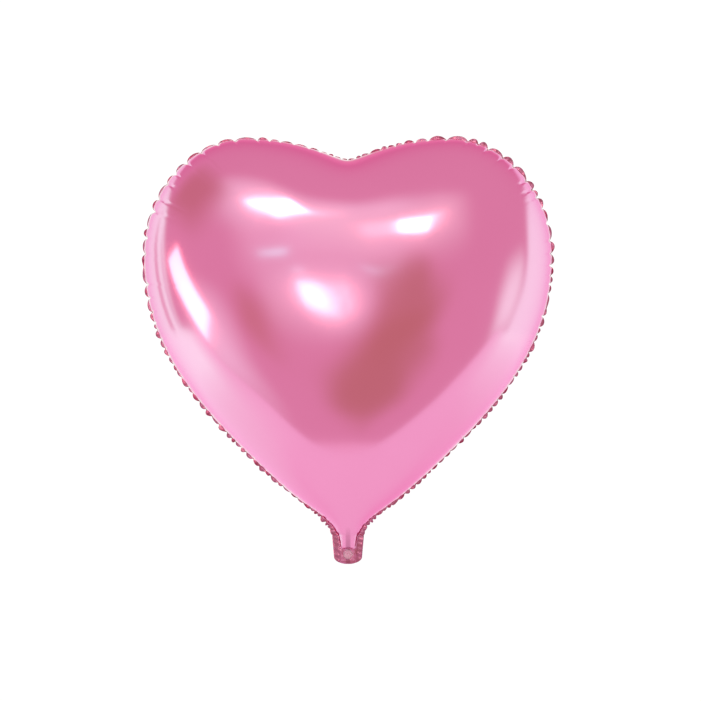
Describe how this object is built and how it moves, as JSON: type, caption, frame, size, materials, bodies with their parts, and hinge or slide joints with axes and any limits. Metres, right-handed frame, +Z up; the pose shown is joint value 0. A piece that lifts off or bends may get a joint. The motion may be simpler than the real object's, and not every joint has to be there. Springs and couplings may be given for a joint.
{
  "type": "heart foil balloon",
  "caption": "Inflated heart-shaped foil balloon with a puckered welded rim and a self-sealing valve tail that folds at the neck.",
  "frame": {"origin": "centre of the neck, where the ribbon is tied between the heart and the tail", "axes": "+Z up the heart from neck to cleft, -Y out of the front, +X to the viewer's right from the front"},
  "size_m": [0.364, 0.194, 0.3788],
  "materials": {
    "foil_front": "metallised pink foil, satin mirror",
    "foil_back": "metallised pink foil, satin mirror",
    "valve_film": "thin translucent polyethylene film"
  },
  "bodies": {
    "envelope": {"front_panel": "foil_front", "back_panel": "foil_back"},
    "tail": {"front_tail": "foil_front", "back_tail": "foil_back", "valve_front_root": "valve_film", "valve_back_root": "valve_film"},
    "valve_front": {"valve_front_tongue": "valve_film"},
    "valve_back": {"valve_back_tongue": "valve_film"}
  },
  "joints": [
    {"name": "tail_fold", "type": "hinge", "parent": "envelope", "child": "tail", "pos_m": [0, 0, -0.003], "axis": [1, 0, 0], "range_deg": [-90, 90]},
    {"name": "valve_front_open", "type": "hinge", "parent": "envelope", "child": "valve_front", "pos_m": [0, -0.00035, -0.0012], "axis": [1, 0, 0], "range_deg": [0, 4], "stiffness_Nm_per_rad": 0.0002},
    {"name": "valve_back_open", "type": "hinge", "parent": "envelope", "child": "valve_back", "pos_m": [0, 0.00035, -0.0012], "axis": [1, 0, 0], "range_deg": [-4, 0], "stiffness_Nm_per_rad": 0.0002}
  ],
  "couplings": [
    {"joint": "valve_back_open", "follows": "valve_front_open", "ratio": -1}
  ]
}
